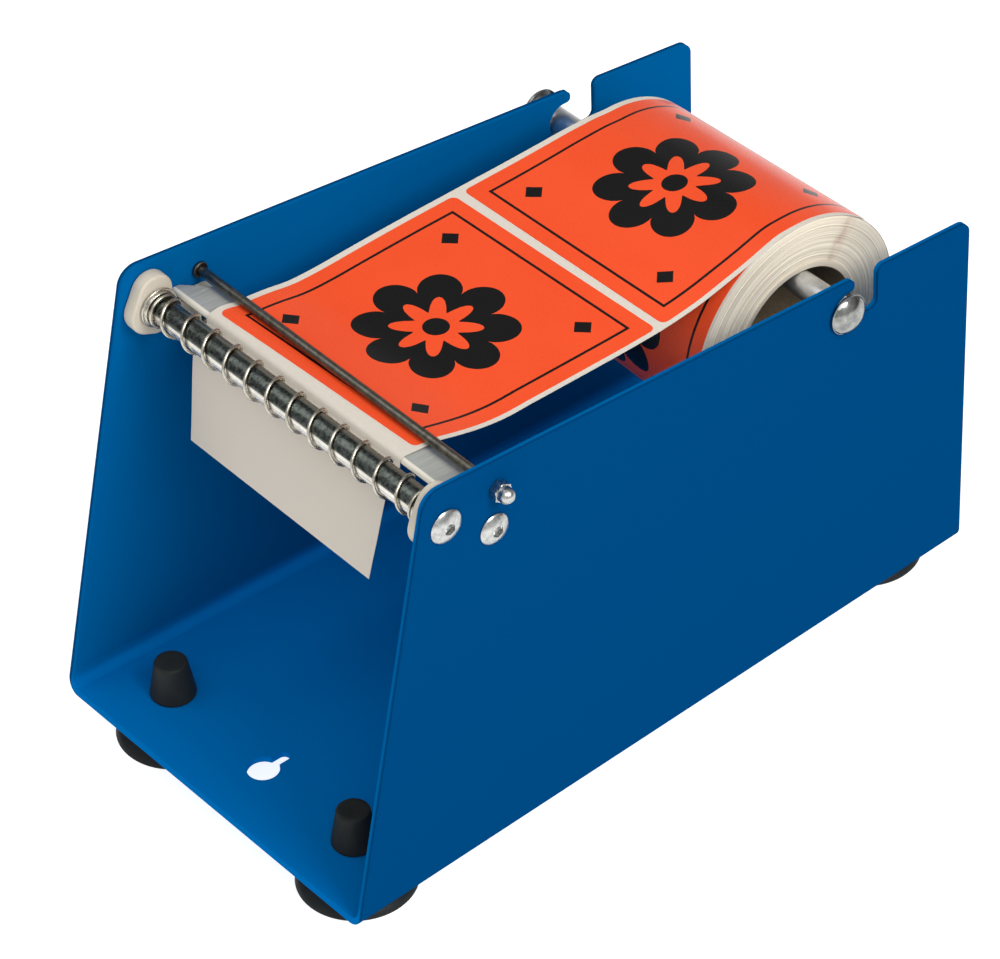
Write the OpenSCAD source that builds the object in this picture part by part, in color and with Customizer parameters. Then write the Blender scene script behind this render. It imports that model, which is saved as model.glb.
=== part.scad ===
// Bench dispenser for a roll of self-adhesive labels.
// A folded sheet chassis holds a spindle with a label roll at the rear and a
// peel plate, a hold-down rod and a bar with a loose spring at the front.
// Section numbers are taken from the front edge of the base (y) and from the
// underside of the sheet (z); place() moves them into the part's own frame.

/* [Chassis] */
// Overall width of the chassis at its front edge
body_w = 170; // [168:1:176]
// Length of the base
body_l = 300; // [296:1:310]
// Height of the walls at the front corner, above the underside of the base
front_h = 176.5; // [174:0.5:186]
// Height of the walls at the rear, above the underside of the base
rear_h = 151.7; // [149:0.1:154]
// Sheet thickness
sheet_t = 2.5; // [2:0.1:2.8]
// Outside radius of the two long bends
bend_r = 6; // [5:0.5:8]
// How far the front edge of the walls leans back at the top
front_lean = 39.2; // [36:0.2:42]
// How much each wall converges towards the rear, in degrees
taper_a = 1.69; // [0:0.01:1.8]

/* [Spindle and roll] */
// Spindle tube diameter
spindle_d = 10; // [8:0.5:10]
// Outside diameter of the label roll
roll_d = 94; // [70:0.5:95]
// How much smaller the roll is at its left end
roll_cone = 5.2; // [0:0.2:6]
// Width of the label roll
roll_w = 102; // [90:0.5:103]
// Inside diameter of the cardboard core
core_d = 53.2; // [50:0.2:56]
// Wall thickness of the cardboard core
core_t = 2.4; // [1.5:0.1:3]

/* [Front bar] */
// Diameter of the front bar
bar_d = 10.6; // [10:0.1:10.6]
// Wire diameter of the spring
wire_d = 1.2; // [1:0.1:1.3]
// Mean diameter of the spring
spring_d = 12.3; // [12.2:0.1:12.5]
// Number of open turns of the spring
spring_turns = 12; // [8:1:14]
// Diameter of the hold-down rod
rod_d = 3.6; // [3:0.1:4]

/* [Feet] */
// Diameter of the suction cups
cup_d = 45; // [40:1:46]
// Height of the sheet above the bench
foot_h = 15.7; // [14:0.1:17]

/* [Hidden] */
$fn = 64;
half = body_w / 2;
slope = tan(taper_a);
// section positions [y, z]
bar_p = [47.5, 158.9];
// the bar sits a little off the axis of its screws
bar_c = bar_p + [0.7, 0.75];
cheek_p = [68.8, 145.0];
rod_p = [71.0, 161.5];
slot_y1 = 241.5;
slot_y2 = 253.4;
pocket_p = [238.4, 145.9];
pocket_r = 6.8;
spin_p = [237.2, 144.6 - (10 - spindle_d) / 2];
// the roll hangs on the tube, drawn a little to the front by the web
hang_r = core_d / 2 - spindle_d / 2 - 0.1;
roll_p = [spin_p[0] - hang_r * sin(6), spin_p[1] - hang_r * cos(6)];
roll_x = 4;
foot_fl = [-54.6, 25.9];
foot_fr = [50.8, 25.9];
foot_rl = [-46.1, 282.3];
foot_rr = [42.3, 282.3];
// how far the rear cups stand out behind the base
rear_over = foot_rr[1] + cup_d / 2 - body_l;
key_p = [-0.5, 25];
// half width of the chassis at depth y, outside and inside
function out_x(y) = half - slope * y;
function in_x(y) = out_x(y) - sheet_t / cos(taper_a);

blue = [0.0, 0.32, 0.58];
cream = [0.86, 0.82, 0.76];
steel = [0.72, 0.72, 0.70];
rubber = [0.10, 0.10, 0.10];
orange = [0.93, 0.30, 0.14];
liner = [0.88, 0.86, 0.82];
card = [0.66, 0.54, 0.40];

module place() { translate([0, -(body_l + rear_over) / 2, foot_h]) children(); }
// extrudes a [y, z] outline along x from x0 to x1
module along_x(x0, x1) { translate([x0, 0, 0]) rotate([90, 0, 90]) linear_extrude(x1 - x0) children(); }
// a round bar along x
module xbar(p, r, x0, x1) { translate([x0, p[0], p[1]]) rotate([0, 90, 0]) cylinder(r = r, h = x1 - x0); }
// puts children on both sides
module both() { children(); mirror([1, 0, 0]) children(); }
// outline of a strip that follows a centre line, between offsets a and b
function nrm(p, i) = let(u = p[min(i + 1, len(p) - 1)] - p[max(i - 1, 0)], l = norm(u)) [-u[1] / l, u[0] / l];
function strip(p, a, b) = concat([for (i = [0 : len(p) - 1]) p[i] + nrm(p, i) * a],
                                 [for (i = [len(p) - 1 : -1 : 0]) p[i] + nrm(p, i) * b]);
// fillet of radius r at corner q between a and b: centre of the circle
function unit(v) = v / norm(v);
function fdist(a, q, b, r) = r / tan(acos(unit(a - q) * unit(b - q)) / 2);
function fcen(a, q, b, r) = q + unit(unit(a - q) + unit(b - q)) * (r / sin(acos(unit(a - q) * unit(b - q)) / 2));

// ---------------------------------------------------------------- chassis
c_ft = [front_lean, front_h];
c_rt = [body_l, rear_h];
// what a fillet of radius r takes away at corner q between a and b
module corner(a, q, b, r) {
  c = fcen(a, q, b, r);
  d = fdist(a, q, b, r);
  difference() {
    polygon([q + unit(a - q) * d, q + unit(q - c) * 4, q + unit(b - q) * d, c]);
    translate(c) circle(r = r);
  }
}
module silhouette() {
  difference() {
    polygon([[0, -1], [0, 0], c_ft, c_rt, [body_l, -1]]);
    corner([0, 0], c_ft, c_rt, 8);
    corner(c_ft, c_rt, [body_l, 0], 5);
  }
}
function top_z(y) = front_h + (y - front_lean) * (rear_h - front_h) / (body_l - front_lean);
// hooked notch for the spindle: entry from the top, pocket to the front
module notch() {
  zf = pocket_p[1] - pocket_r;
  zc = pocket_p[1] + pocket_r;
  ts = top_z(slot_y1);
  tr = top_z(slot_y2 + 3);
  difference() {
    union() {
      translate([slot_y1, zf + 3]) square([slot_y2 - slot_y1, 40]);
      translate([slot_y1 - 1, zf]) square([slot_y2 - slot_y1 - 2, 10]);
      translate([slot_y2 - 3, zf + 3]) circle(r = 3);
      translate([pocket_p[0], zf]) square([slot_y1 - pocket_p[0] + 1, 2 * pocket_r]);
      translate(pocket_p) circle(r = pocket_r);
      // room for the rounded corners of the sheet on both sides of the entry
      translate([slot_y1 - 3.5, zc - 1]) square([4, 16]);
      translate([slot_y2 - 0.5, tr - 4]) square([4, 12]);
    }
    // tip of the hook
    translate([slot_y1 - 2, ts - 2]) circle(r = 2);
    translate([slot_y1 - 1.6, zc + 1.6]) circle(r = 1.6);
    polygon([[slot_y1 - 5, zc], [slot_y1 - 1.6, zc], [slot_y1, zc + 1.6], [slot_y1, ts - 2], [slot_y1 - 2, ts],
             [slot_y1 - 3.6, top_z(slot_y1 - 3.6) + 0.1], [slot_y1 - 5, ts + 1]]);
    // rear lip
    translate([slot_y2 + 3, tr - 3]) circle(r = 3);
    polygon([[slot_y2, tr - 6], [slot_y2, tr - 3], [slot_y2 + 3, tr], [slot_y2 + 5, tr], [slot_y2 + 5, tr - 6]]);
  }
}
module folded_side() {
  // L section: half of the base, the bend and one wall
  translate([half, 0, 0]) rotate([0, 0, taper_a])
    translate([0, body_l + 12, 0]) rotate([90, 0, 0]) linear_extrude(body_l + 24)
      union() {
        translate([-half - 3, 0]) square([half + 3 - bend_r, sheet_t]);
        translate([-sheet_t, bend_r]) square([sheet_t, front_h + 6]);
        intersection() {
          difference() {
            translate([-bend_r, bend_r]) circle(r = bend_r);
            translate([-bend_r, bend_r]) circle(r = bend_r - sheet_t);
          }
          translate([-bend_r, 0]) square([bend_r, bend_r]);
        }
      }
}
module chassis() {
  color(blue) place() difference() {
    intersection() {
      both() folded_side();
      along_x(-half - 10, half + 10) silhouette();
    }
    along_x(-half - 12, half + 12) notch();
    xbar(bar_p, 3.1, -half - 5, half + 5);
    xbar(cheek_p, 2.6, -half - 5, half + 5);
    xbar(rod_p, rod_d / 2 + 0.1, -half - 5, half + 5);
    for (p = [foot_fl, foot_fr, foot_rl, foot_rr]) translate([p[0], p[1], -1]) cylinder(r = 5.1, h = sheet_t + 2);
    translate([key_p[0], key_p[1], -1]) cylinder(r = 6.15, h = sheet_t + 2);
    translate([key_p[0] - 2.3, key_p[1], -1]) cube([4.6, 9.5, sheet_t + 2]);
    translate([key_p[0], key_p[1] + 9.5, -1]) cylinder(r = 2.3, h = sheet_t + 2);
  }
}

// ---------------------------------------------------------------- front assembly
cheek_t = 6;
// boss round the bar, and a lower part with a ledge under the plate
module cheek_outline() {
  hull() {
    translate([bar_p[0] - 1.5, bar_p[1] - 1.5]) circle(r = 8.6, $fn = 32);
    translate([bar_p[0] + 1.0, bar_p[1] + 6.2]) circle(r = 7.4, $fn = 32);
    translate([bar_p[0] + 1.5, bar_p[1] - 5]) circle(r = 6.5, $fn = 32);
  }
  hull() {
    translate([bar_p[0] + 3, bar_p[1] - 7]) circle(r = 3.8, $fn = 32);
    translate([cheek_p[0] + 0.5, cheek_p[1] - 0.2]) circle(r = 7, $fn = 32);
    translate([71.5, 153.3]) circle(r = 2.5, $fn = 32);
    translate([57, 153.3]) circle(r = 2.5, $fn = 32);
  }
}
// plate shape in the frame of the right-hand wall
module cheek() {
  color(cream) place() difference() {
    translate([half, 0, 0]) rotate([0, 0, taper_a])
      along_x(-sheet_t - 0.05 - cheek_t, -sheet_t - 0.05) cheek_outline();
    xbar(bar_p, 3.1, half - 20, half + 5);
    xbar(cheek_p, 2.6, half - 20, half + 5);
  }
}
module end_cheek_right() { cheek(); }
module end_cheek_left() { mirror([1, 0, 0]) cheek(); }

// the peel plate spans the walls above the cheeks' ledges and has a round nose
nose_p = [60.0, 157.6];
nose_r = 1.5;
plate_w = in_x(62) - 0.08;
module peel_plate() {
  color([0.78, 0.77, 0.74]) place() intersection() {
    union() {
      xbar(nose_p, nose_r, -82, 82);
      along_x(-82, 82) polygon([[59.9, 159.095], [72.2, 157.9], [72.0, 155.92], [59.9, 156.105]]);
    }
    translate([0, 0, 150]) linear_extrude(30)
      polygon([[-plate_w, 57], [plate_w, 57], [plate_w, 62], [69.5, 74], [-69.5, 74], [-plate_w, 62]]);
  }
}

bar_x = in_x(bar_p[0] + 8) - cheek_t - 0.15;
module front_bar() {
  color(steel) place() difference() {
    xbar(bar_c, bar_d / 2, -bar_x, bar_x);
    both() xbar(bar_p, 2.95, bar_x - 14, bar_x + 1);
  }
}
module bar_collars() {
  color(steel) place() both() difference() {
    union() {
      xbar(bar_c, 7.8, bar_x - 1.0, bar_x - 0.05);
      xbar(bar_c, 6.9, bar_x - 2.1, bar_x - 0.95);
    }
    xbar(bar_c, bar_d / 2 + 0.03, bar_x - 5, bar_x + 1);
  }
}
// one closed coil and then an open helix, swept as a ring chain
coil_x0 = -(bar_x - 2.95);
coil_x1 = bar_x - 2.95;
coil_n = spring_turns + 2;
coil_steps = 12;
function lead(u) = u < 1 ? wire_d * 1.12 * u
               : u > coil_n - 1 ? (coil_x1 - coil_x0) - wire_d * 1.12 * (coil_n - u)
               : wire_d * 1.12 + (u - 1) / (coil_n - 2) * ((coil_x1 - coil_x0) - 2 * wire_d * 1.12);
function coil_pt(u) = [coil_x0 + lead(u), bar_c[0] + spring_d / 2 * cos(360 * u), bar_c[1] + spring_d / 2 * sin(360 * u)];
module bar_spring() {
  color(steel) place() {
    n = coil_n * coil_steps;
    sides = 6;
    ring = [for (i = [0 : n]) let(u = i / coil_steps, c = coil_pt(u), o = [0, cos(360 * u), sin(360 * u)])
              for (k = [0 : sides - 1]) c + wire_d / 2 * (cos(360 * k / sides) * o + sin(360 * k / sides) * [1, 0, 0])];
    side_f = [for (i = [0 : n - 1]) for (k = [0 : sides - 1]) for (h = [0, 1])
                let(a = i * sides + k, b = i * sides + (k + 1) % sides)
                h == 0 ? [a, a + sides, b + sides] : [a, b + sides, b]];
    cap0 = [[for (k = [0 : sides - 1]) k]];
    cap1 = [[for (k = [sides - 1 : -1 : 0]) n * sides + k]];
    polyhedron(points = ring, faces = concat(side_f, cap0, cap1), convexity = 10);
  }
}
// low domed head with a hexagon socket, along +x from x0
function dome(r, h, z0) = let(q = (r * r + h * h) / (2 * h), m = asin(r / q))
  [for (i = [0 : 10]) [q * sin(m * (1 - i / 10)), z0 + h - q + q * cos(m * (1 - i / 10))]];
module button_screw(p, x0, head_r, head_h, shank_r, shank_l, socket) {
  translate([x0, p[0], p[1]]) rotate([0, 90, 0]) difference() {
    rotate_extrude() polygon(concat([[0, -shank_l], [shank_r, -shank_l], [shank_r, 0], [head_r, 0]], dome(head_r, head_h - 0.5, 0.5)));
    translate([0, 0, head_h - 2.0]) cylinder(r = socket / cos(30) / 2, h = 5, $fn = 6);
  }
}
module bar_screws() {
  color(steel) place() both()
    button_screw(bar_p, out_x(bar_p[0] - 6.7) + 0.03, 6.7, 3.4, 2.9, 18, 4);
}
module cheek_screws() {
  color(steel) place() both()
    button_screw(cheek_p, out_x(cheek_p[0] - 6.2) + 0.03, 6.2, 3.2, 2.5, 8, 4);
}
rod_x = out_x(rod_p[0]) + 6.5;
module holddown_rod() { color([0.36, 0.35, 0.32]) place() xbar(rod_p, rod_d / 2, -rod_x, rod_x); }
module rod_nuts() {
  x0 = out_x(rod_p[0] - 4) + 0.03;
  color(steel) place() both() translate([x0, rod_p[0], rod_p[1]]) rotate([0, 90, 0]) difference() {
    union() {
      cylinder(r = 7 / cos(30) / 2, h = 3.4, $fn = 6);
      rotate_extrude() polygon(concat([[0, 1]], [[3.2, 1], [3.2, 4.6]], dome(3.1, 3.0, 4.9)));
    }
    translate([0, 0, -1]) cylinder(r = rod_d / 2 + 0.02, h = rod_x - x0 + 1.1);
  }
}
module rod_washers() {
  x1 = in_x(rod_p[0] + 3.4) - 0.03;
  color(steel) place() both() difference() {
    xbar(rod_p, 3.1, x1 - 1.4, x1);
    xbar(rod_p, rod_d / 2 + 0.02, x1 - 4, x1 + 1);
  }
}

// ---------------------------------------------------------------- spindle and roll
spin_x = out_x(spin_p[0] - 8) + 0.4;
// the spindle is pushed to the left, so that its left end stands away from the wall
spin_l = spin_x + 8.4;
module spindle_tube() {
  color(steel) place() difference() {
    xbar(spin_p, spindle_d / 2, -spin_l, spin_x);
    xbar(spin_p, 3.05, -spin_l - 1, spin_x + 1);
  }
}
module spindle_screw(x0) {
  translate([x0 + 0.02, spin_p[0], spin_p[1]]) rotate([0, 90, 0])
    rotate_extrude() polygon(concat([[0, -16], [3.0, -16], [3.0, 0], [8, 0]], dome(8, 3.8, 1.0)));
}
module spindle_screws() {
  color(steel) place() {
    spindle_screw(spin_x);
    mirror([1, 0, 0]) spindle_screw(spin_l);
  }
}
module roll_core() {
  color(card) place() difference() {
    xbar(roll_p, core_d / 2 + core_t, roll_x - roll_w / 2, roll_x + roll_w / 2);
    xbar(roll_p, core_d / 2, roll_x - roll_w / 2 - 1, roll_x + roll_w / 2 + 1);
  }
}
module label_roll() {
  color(orange) place() difference() {
    translate([roll_x - roll_w / 2, roll_p[0], roll_p[1]]) rotate([0, 90, 0])
      cylinder(r1 = (roll_d - roll_cone) / 2, r2 = roll_d / 2, h = roll_w);
    xbar(roll_p, core_d / 2 + core_t + 0.02, roll_x - roll_w / 2 - 1, roll_x + roll_w / 2 + 1);
  }
}

// ---------------------------------------------------------------- web
// centre lines of the web, from the peel nose to the back of the roll
web_a = [[60.0, 159.5], [64, 159.3], [71, 158.9], [76, 158.0], [84, 156.9], [94, 156.0], [106, 155.8],
         [122, 156.7], [140, 158.0], [155, 159.0], [166.0, 159.67]];
wrap = [for (t = [-10, -4, 2, 8, 14, 20, 26, 32, 38, 44, 48]) roll_p + (roll_d / 2 + 0.5) * [sin(t), cos(t)]];
web_b = concat([[166.3, 159.69], [180, 160.9], [192, 162.6], [205, 164.9], [216, 167.4]], wrap);
// outline of the web seen from above: it runs a little to the left on its way to the front
module web_plan() { translate([0, 0, 90]) linear_extrude(100) polygon([[-60.2, 50], [46.5, 50], [55, 235], [55, 280], [-47, 280], [-47, 235]]); }
module web_front() {
  color(liner) place() intersection() {
    along_x(-70, 70) polygon(strip(web_a, -0.2, 0.2));
    web_plan();
  }
}
module web_rear() {
  color(liner) place() intersection() {
    along_x(-70, 70) polygon(strip(web_b, -0.2, 0.2));
    web_plan();
  }
}
lab_a = [[60.5, 159.48], [64, 159.3], [71, 158.9], [76, 158.0], [84, 156.9], [94, 156.0], [106, 155.8],
         [122, 156.7], [140, 158.0], [155, 159.0], [166.15, 159.68], [180, 160.9]];
lab_b = concat([[155, 159.0], [166.15, 159.68], [180, 160.9], [192, 162.6], [205, 164.9], [216, 167.4]],
               [for (i = [0 : len(wrap) - 2]) wrap[i]]);
module label_front() {
  color(orange) place() intersection() {
    along_x(-70, 70) polygon(strip(lab_a, 0.22, 0.45));
    translate([0, 0, 90]) linear_extrude(100) polygon([[-56.3, 61.6], [44, 66], [48.9, 172.2], [-48.9, 163.3]]);
  }
}
module label_rear() {
  color(orange) place() intersection() {
    along_x(-70, 70) polygon(strip(lab_b, 0.22, 0.45));
    translate([0, 0, 90]) linear_extrude(100) polygon([[-48.6, 167.6], [49.1, 175.4], [51.8, 235], [51.8, 280], [-43.8, 280], [-43.8, 235]]);
  }
}
tail_c = [[59.83, 159.49], [59.05, 159.25], [58.35, 158.55], [58.1, 157.6], [58.05, 156.2], [57.2, 154.4], [55.4, 152.6],
          [53.4, 150.6], [51.9, 147.6], [51, 144], [49.6, 137], [47.9, 128.7], [44.8, 111.2]];
module liner_tail() { color(liner) place() along_x(-59.9, 46.7) polygon(strip(tail_c, -0.2, 0.2)); }

// ---------------------------------------------------------------- feet
// cup below the sheet, neck through it, tapered stud above it
module foot(p) {
  r = cup_d / 2;
  s = sheet_t;
  h = -foot_h;
  color(rubber) place() translate([p[0], p[1], 0]) rotate_extrude($fn = 72) polygon([
    [0, h + 5.2], [8, h + 4.6], [14.5, h + 2.9], [r - 3.4, h + 0.9], [r - 2.0, h], [r - 0.5, h], [r, h + 0.5],
    [r - 0.6, h + 1.7], [r - 3.6, h + 4.0], [14.5, h + 6.6], [12.6, h + 8.6], [11.6, -5], [11, -0.9], [9.8, -0.03], [5.0, -0.03],
    [5.0, s + 0.03], [8.6, s + 0.03], [8.7, s + 1.2], [6.3, 17.3], [5.7, 17.9], [4.8, 18.1], [0, 18.1]]);
}
module foot_front_left() { foot(foot_fl); }
module foot_front_right() { foot(foot_fr); }
module foot_rear_left() { foot(foot_rl); }
module foot_rear_right() { foot(foot_rr); }

chassis();
peel_plate();
end_cheek_left();
end_cheek_right();
front_bar();
bar_spring();
bar_collars();
bar_screws();
cheek_screws();
holddown_rod();
rod_nuts();
rod_washers();
spindle_tube();
spindle_screws();
roll_core();
label_roll();
web_front();
web_rear();
label_front();
label_rear();
liner_tail();
foot_front_left();
foot_front_right();
foot_rear_left();
foot_rear_right();
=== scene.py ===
import math
import random

import bmesh
import bpy
from mathutils import Matrix, Vector
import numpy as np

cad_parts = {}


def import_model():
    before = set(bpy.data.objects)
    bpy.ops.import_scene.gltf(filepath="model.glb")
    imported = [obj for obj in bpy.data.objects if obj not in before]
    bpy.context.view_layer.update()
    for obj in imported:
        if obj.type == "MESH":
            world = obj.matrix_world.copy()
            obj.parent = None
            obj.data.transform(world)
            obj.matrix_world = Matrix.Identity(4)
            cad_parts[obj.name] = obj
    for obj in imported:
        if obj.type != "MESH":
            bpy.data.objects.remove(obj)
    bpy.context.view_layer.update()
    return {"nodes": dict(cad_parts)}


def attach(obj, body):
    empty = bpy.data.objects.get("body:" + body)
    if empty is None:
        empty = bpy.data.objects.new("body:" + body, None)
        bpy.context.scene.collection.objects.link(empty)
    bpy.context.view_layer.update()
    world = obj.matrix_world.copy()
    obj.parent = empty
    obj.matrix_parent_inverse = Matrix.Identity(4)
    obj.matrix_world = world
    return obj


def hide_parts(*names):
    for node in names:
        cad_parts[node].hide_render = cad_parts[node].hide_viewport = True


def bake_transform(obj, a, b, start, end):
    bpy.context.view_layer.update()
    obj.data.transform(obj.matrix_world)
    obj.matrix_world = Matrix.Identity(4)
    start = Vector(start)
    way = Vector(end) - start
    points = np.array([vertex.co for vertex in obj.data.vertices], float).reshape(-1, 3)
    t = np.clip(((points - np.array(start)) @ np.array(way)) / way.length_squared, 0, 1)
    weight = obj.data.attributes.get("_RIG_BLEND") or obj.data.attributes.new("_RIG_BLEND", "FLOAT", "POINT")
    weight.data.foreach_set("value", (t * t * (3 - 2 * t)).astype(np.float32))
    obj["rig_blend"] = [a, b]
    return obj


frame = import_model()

RND = random.Random(11)

# Section numbers are in mm, as in the CAD: y from the front edge of the base, z from the underside of the sheet.
Y0, Z0 = -152.4, 15.7


def row(x, y, z):
    """A point in section millimetres, in the row frame in metres."""
    return (x / 1000.0, (y + Y0) / 1000.0, (z + Z0) / 1000.0)


TAPER = math.radians(1.69)
SLOPE = math.tan(TAPER)
BAR = (47.5, 158.9)
BARC = (48.2, 159.65)
CHEEK = (68.8, 145.0)
ROD = (71.0, 161.5)
SPIN = (237.2, 144.6)
HANG = 21.5
ROLL = (SPIN[0] - HANG * math.sin(math.radians(6)), SPIN[1] - HANG * math.cos(math.radians(6)))
ROLL_X0, ROLL_X1 = -47.0, 55.0
ROLL_R0, ROLL_R1 = 44.4, 47.0


def out_x(y):
    return 85.0 - SLOPE * y


def in_x(y):
    return out_x(y) - 2.5 / math.cos(TAPER)


# ------------------------------------------------------------------ materials
class Mat:
    """A small builder for node materials."""

    def __init__(self, name, color=(0.5, 0.5, 0.5), rough=0.5, metal=0.0, spec=0.5, coat=0.0, coat_rough=0.05):
        self.m = bpy.data.materials.new(name)
        self.m.use_nodes = True
        self.t = self.m.node_tree
        self.b = self.t.nodes["Principled BSDF"]
        self.set("Base Color", (*color, 1.0))
        self.set("Roughness", rough)
        self.set("Metallic", metal)
        self.set("Specular IOR Level", spec)
        self.set("Coat Weight", coat)
        self.set("Coat Roughness", coat_rough)
        self._co = None

    def set(self, name, value):
        self.b.inputs[name].default_value = value

    def put(self, socket, name):
        self.t.links.new(socket, self.b.inputs[name])

    def node(self, kind, **props):
        n = self.t.nodes.new(kind)
        for k, v in props.items():
            setattr(n, k, v)
        return n

    def feed(self, n, i, v):
        if isinstance(v, bpy.types.NodeSocket):
            self.t.links.new(v, n.inputs[i])
        elif v is not None:
            n.inputs[i].default_value = v

    def math(self, op, a, b=None, c=None, clamp=False):
        n = self.node("ShaderNodeMath", operation=op, use_clamp=clamp)
        for i, v in enumerate((a, b, c)):
            self.feed(n, i, v)
        return n.outputs[0]

    def obj(self):
        if self._co is None:
            self._co = self.node("ShaderNodeTexCoord")
        return self._co.outputs["Object"]

    def uv(self):
        if self._co is None:
            self._co = self.node("ShaderNodeTexCoord")
        s = self.node("ShaderNodeSeparateXYZ")
        self.t.links.new(self._co.outputs["UV"], s.inputs[0])
        return s.outputs[0], s.outputs[1]

    def xyz(self):
        s = self.node("ShaderNodeSeparateXYZ")
        self.t.links.new(self.obj(), s.inputs[0])
        return s.outputs[0], s.outputs[1], s.outputs[2]

    def vec(self, x, y, z):
        c = self.node("ShaderNodeCombineXYZ")
        for i, v in enumerate((x, y, z)):
            self.feed(c, i, v)
        return c.outputs[0]

    def scaled(self, sx, sy, sz):
        n = self.node("ShaderNodeMapping")
        self.t.links.new(self.obj(), n.inputs["Vector"])
        n.inputs["Scale"].default_value = (sx, sy, sz)
        return n.outputs[0]

    def noise(self, scale, detail=3.0, rough=0.5, vec=None, dist=0.0):
        n = self.node("ShaderNodeTexNoise")
        self.t.links.new(vec if vec is not None else self.obj(), n.inputs["Vector"])
        n.inputs["Scale"].default_value = scale
        n.inputs["Detail"].default_value = detail
        n.inputs["Roughness"].default_value = rough
        n.inputs["Distortion"].default_value = dist
        return n.outputs[0]

    def voronoi(self, scale, vec=None):
        n = self.node("ShaderNodeTexVoronoi")
        self.t.links.new(vec if vec is not None else self.obj(), n.inputs["Vector"])
        n.inputs["Scale"].default_value = scale
        return n

    def ramp(self, fac, stops):
        n = self.node("ShaderNodeValToRGB")
        self.t.links.new(fac, n.inputs[0])
        e = n.color_ramp.elements
        while len(e) < len(stops):
            e.new(0.5)
        for x, (p, c) in zip(e, stops):
            x.position = p
            x.color = (*c, 1.0) if len(c) == 3 else c
        return n.outputs[0]

    def range(self, v, a, b, c, d):
        n = self.node("ShaderNodeMapRange")
        self.t.links.new(v, n.inputs[0])
        for i, x in enumerate((a, b, c, d)):
            n.inputs[1 + i].default_value = x
        return n.outputs[0]

    def mix(self, fac, a, b, blend="MIX"):
        n = self.node("ShaderNodeMix", data_type="RGBA", blend_type=blend)
        self.feed(n, 0, fac)
        for i, v in ((6, a), (7, b)):
            if isinstance(v, bpy.types.NodeSocket):
                self.t.links.new(v, n.inputs[i])
            else:
                n.inputs[i].default_value = (*v, 1.0)
        return n.outputs[2]

    def bump(self, height, strength, distance, normal=None):
        n = self.node("ShaderNodeBump")
        self.t.links.new(height, n.inputs["Height"])
        n.inputs["Strength"].default_value = strength
        n.inputs["Distance"].default_value = distance
        if normal is not None:
            self.t.links.new(normal, n.inputs["Normal"])
        return n.outputs[0]


def blue_paint(name="blue_paint", lo=(0.0, 0.098, 0.296), hi=(0.0, 0.105, 0.315), spec=0.0, coat=0.0, side=(0.55, 0.50)):
    g = Mat(name, lo, 0.3, spec=spec, coat=coat, coat_rough=0.10)
    x, y, z = g.xyz()
    broad = g.noise(9.0, 3.0, 0.55)
    fine = g.noise(420.0, 2.0, 0.5)
    c = g.mix(g.range(broad, 0.3, 0.7, 0.0, 1.0), lo, hi)
    # painted light: the base sheet is painted a shade lighter, more so towards the rear, standing in for how the light
    # falls inside the chassis
    base = g.range(z, (4.0 + Z0) / 1000.0, (9.0 + Z0) / 1000.0, 1.0, 0.0)
    rear_painted_light = g.range(y, (15.0 + Y0) / 1000.0, (110.0 + Y0) / 1000.0, 0.0, 1.0)
    c = g.mix(base, c, (0.0, lo[1] * 1.38, lo[2] * 1.42))
    # painted light: towards the rear the base is painted lighter still
    c = g.mix(g.math("MULTIPLY", base, rear_painted_light), c, (0.0, lo[1] * 2.0, lo[2] * 2.1))
    # distance outside the middle of the sheet, in metres
    taper = g.math("MULTIPLY", g.math("SUBTRACT", y, Y0 / 1000.0), SLOPE)
    far = g.math("ADD", g.math("ABSOLUTE", x), taper)
    # painted shade: the outside faces of the walls are painted darker, by the factors in side
    outer = g.range(far, (85.0 - 1.6) / 1000.0, (85.0 - 0.9) / 1000.0, 0.0, 1.0)
    c = g.mix(outer, c, (0.0, lo[1] * side[1], lo[2] * side[0]))
    g.put(c, "Base Color")
    g.put(g.range(fine, 0.25, 0.75, 0.22, 0.32), "Roughness")
    g.put(g.bump(fine, 0.05, 0.00003), "Normal")
    return g.m


def cream_plastic():
    g = Mat("cream_plastic", (0.56, 0.50, 0.41), 0.34, spec=0.30)
    broad = g.noise(60.0, 3.0, 0.6)
    fine = g.noise(1500.0, 2.0, 0.6)
    g.put(g.mix(g.range(broad, 0.3, 0.7, 0.0, 1.0), (0.52, 0.47, 0.385), (0.61, 0.56, 0.465)), "Base Color")
    g.put(g.range(fine, 0.3, 0.7, 0.30, 0.45), "Roughness")
    g.put(g.bump(fine, 0.12, 0.00004), "Normal")
    g.set("Subsurface Weight", 0.06)
    g.set("Subsurface Radius", (0.002, 0.0015, 0.001))
    return g.m


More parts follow.
